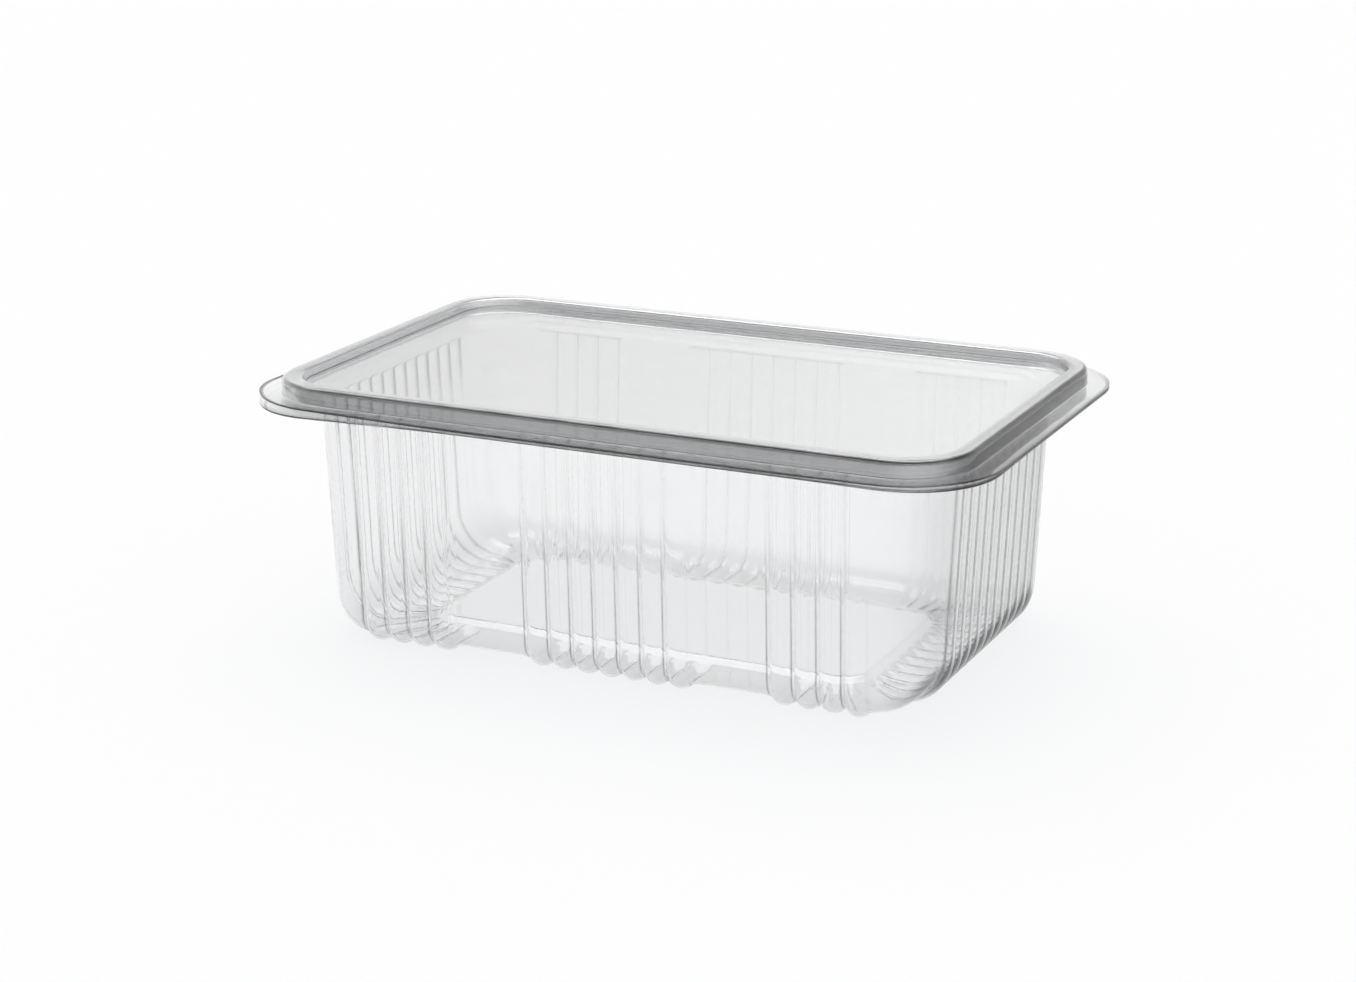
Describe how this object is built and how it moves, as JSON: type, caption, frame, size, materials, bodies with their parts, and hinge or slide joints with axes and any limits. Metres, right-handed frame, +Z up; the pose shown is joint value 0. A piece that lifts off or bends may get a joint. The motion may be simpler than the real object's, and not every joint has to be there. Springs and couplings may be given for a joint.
{
  "type": "plastic clamshell pack",
  "caption": "Clear thermoformed food pack: a ribbed rectangular tub with a raised floor panel, and a lid that clips over its rim, joined to it by a living hinge along the back.",
  "frame": {"origin": "under the middle of the closed pack, at the level of its feet", "axes": "+X along the long side, +Y from the front to the hinge at the back, +Z up"},
  "size_m": [0.2, 0.13, 0.0702],
  "materials": {
    "clear_sheet": "clear glossy PET sheet"
  },
  "bodies": {
    "tub": {"tub": "clear_sheet", "hinge": "clear_sheet"},
    "lid": {"lid": "clear_sheet"}
  },
  "joints": [
    {"name": "lid_hinge", "type": "hinge", "parent": "tub", "child": "lid", "pos_m": [0, 0.06445, 0.06525], "axis": [-1, 0, 0], "range_deg": [0, 180], "deforming": ["hinge"]}
  ]
}
